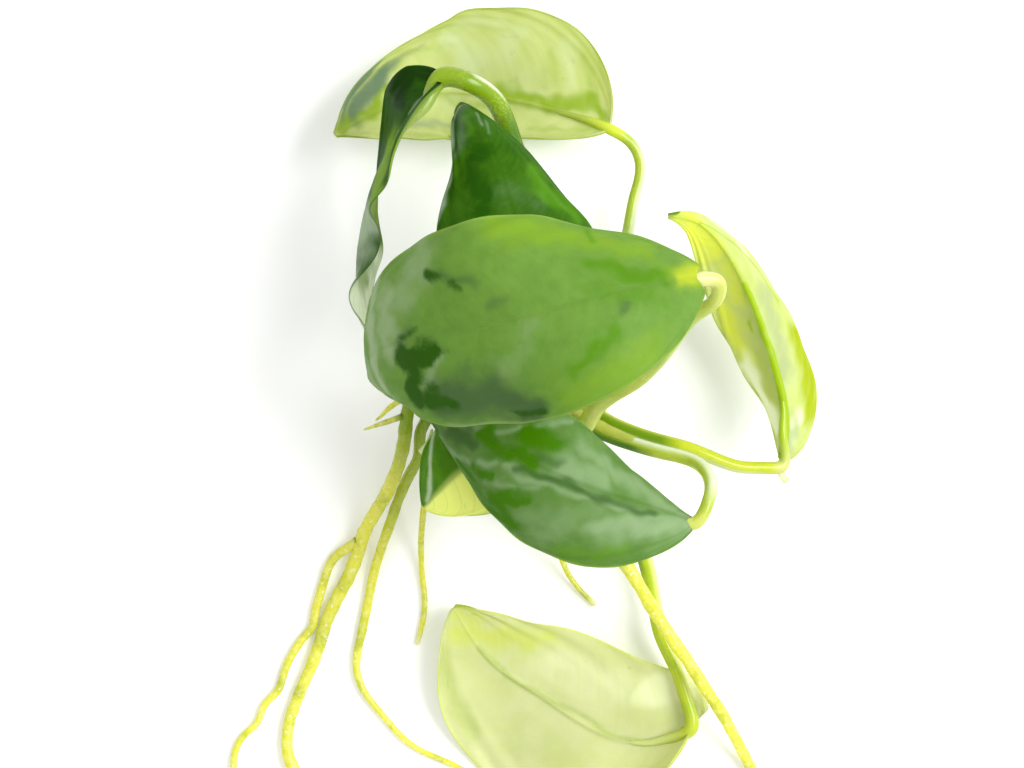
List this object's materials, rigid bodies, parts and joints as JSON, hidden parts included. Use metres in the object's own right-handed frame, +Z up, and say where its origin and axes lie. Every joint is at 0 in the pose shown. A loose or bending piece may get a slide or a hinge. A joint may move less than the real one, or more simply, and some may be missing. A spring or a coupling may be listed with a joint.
{
  "type": "bare-root anubias plant",
  "caption": "Small bare-root anubias lying on a surface: cupped, glossy oval leaves on long curved stalks, a short creeping rhizome, and free roots trailing to one side.",
  "frame": {"origin": "on the surface that the plant lies on, under the middle of its bounding box", "axes": "+Z up from the surface, towards the camera; +Y along the plant from the roots to the top leaf, which is up in the picture; +X to the right in the picture"},
  "size_m": [0.0874, 0.121, 0.0607],
  "materials": {
    "mid_green_leaf": "glossy mid-green leaf blade, yellow-green where light passes through",
    "dark_leaf": "glossy dark green leaf blade with a blue-grey sheen",
    "pale_leaf": "satin pale yellow-green leaf underside, translucent",
    "young_leaf": "satin yellow-green young leaf, thin and translucent",
    "leaf_stalk": "smooth glossy green leaf stalk",
    "root": "wet yellow-green root with fine fuzz",
    "rhizome": "brown-green rhizome with old leaf scars"
  },
  "bodies": {
    "root": {"rhizome": "rhizome", "front_leaf": "mid_green_leaf", "front_leaf_stalk": "leaf_stalk", "lower_leaf": "dark_leaf", "lower_leaf_stalk": "leaf_stalk", "small_leaf": "dark_leaf", "small_leaf_stalk": "leaf_stalk", "middle_leaf": "dark_leaf", "middle_leaf_stalk": "leaf_stalk", "folded_leaf": "dark_leaf", "folded_leaf_stalk": "leaf_stalk", "top_leaf": "pale_leaf", "top_leaf_stalk": "leaf_stalk", "right_leaf": "young_leaf", "right_leaf_stalk": "leaf_stalk", "bottom_leaf": "pale_leaf", "bottom_leaf_stalk": "leaf_stalk", "left_root": "root", "left_side_root": "root", "centre_root": "root", "short_root": "root", "right_root": "root", "hidden_root": "root", "upper_rootlet": "root", "lower_rootlet": "root"}
  },
  "joints": []
}
